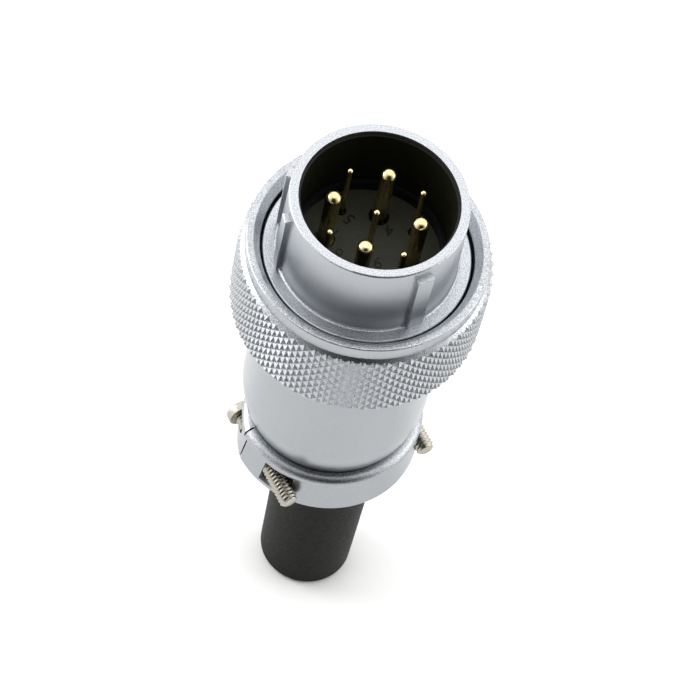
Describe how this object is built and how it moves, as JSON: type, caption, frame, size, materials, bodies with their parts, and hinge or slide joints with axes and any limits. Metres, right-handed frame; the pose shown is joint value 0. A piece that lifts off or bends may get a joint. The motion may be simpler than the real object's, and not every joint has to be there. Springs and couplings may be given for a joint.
{
  "type": "industrial circular connector",
  "caption": "Circular cable plug: pin contacts in a keyed metal shell, knurled coupling ring that slides and turns, plain backshell with screw-tightened cable clamp, rubber cable sleeve.",
  "frame": {"origin": "on the plug's axis, in the plane of the cable sleeve's free end", "axes": "+Z along the plug's axis towards the contacts; the four large contacts lie on the X and Y axes"},
  "size_m": [0.036, 0.036, 0.1008],
  "materials": {
    "plated_shell": "satin",
    "plated_ring": "satin",
    "plated_backshell": "satin",
    "plated_cap": "satin",
    "contact_gold": "polished",
    "insert_plastic": "moulded",
    "retainer_plastic": "moulded",
    "seal_rubber": "matte",
    "sleeve_rubber": "matte",
    "circlip_steel": "oiled",
    "washer_steel": "plain",
    "screw_steel": "nickel plated"
  },
  "bodies": {
    "plug_body": {"front_shell": "plated_shell", "insert": "insert_plastic", "insert_retainer": "retainer_plastic", "face_seal": "seal_rubber", "insert_circlip": "circlip_steel", "contact_large_1": "contact_gold", "contact_large_2": "contact_gold", "contact_large_3": "contact_gold", "contact_large_4": "contact_gold", "contact_small_1": "contact_gold", "contact_small_2": "contact_gold", "contact_small_3": "contact_gold", "contact_small_4": "contact_gold", "contact_small_5": "contact_gold", "backshell": "plated_backshell", "backshell_gasket": "seal_rubber", "cable_sleeve": "sleeve_rubber"},
    "ring_washer": {"slip_washer": "washer_steel"},
    "ring": {"coupling_ring": "plated_ring"},
    "cap": {"clamp_cap": "plated_cap"},
    "screw_left": {"clamp_screw_left": "screw_steel"},
    "screw_right": {"clamp_screw_right": "screw_steel"}
  },
  "joints": [
    {"name": "ring_slide", "type": "slide", "parent": "plug_body", "child": "ring_washer", "axis": [0, 0, 1], "range_m": [0, 0.0087]},
    {"name": "ring_turn", "type": "hinge", "parent": "ring_washer", "child": "ring", "pos_m": [0, 0, 0.07865], "axis": [0, 0, 1], "continuous": true},
    {"name": "cap_lift", "type": "slide", "parent": "plug_body", "child": "cap", "axis": [-0.6691, 0.7431, 0], "range_m": [0, 0.01]},
    {"name": "screw_left_turn", "type": "hinge", "parent": "cap", "child": "screw_left", "pos_m": [-0.00855, -0.00769, 0.0405], "axis": [-0.6691, 0.7431, 0], "range_deg": [0, 6001]},
    {"name": "screw_right_turn", "type": "hinge", "parent": "cap", "child": "screw_right", "pos_m": [0.00855, 0.00769, 0.0405], "axis": [-0.6691, 0.7431, 0], "range_deg": [0, 6001]}
  ],
  "couplings": [
    {"joint": "screw_left_turn", "follows": "cap_lift", "rad_per_m": 10472},
    {"joint": "screw_right_turn", "follows": "cap_lift", "rad_per_m": 10472}
  ]
}
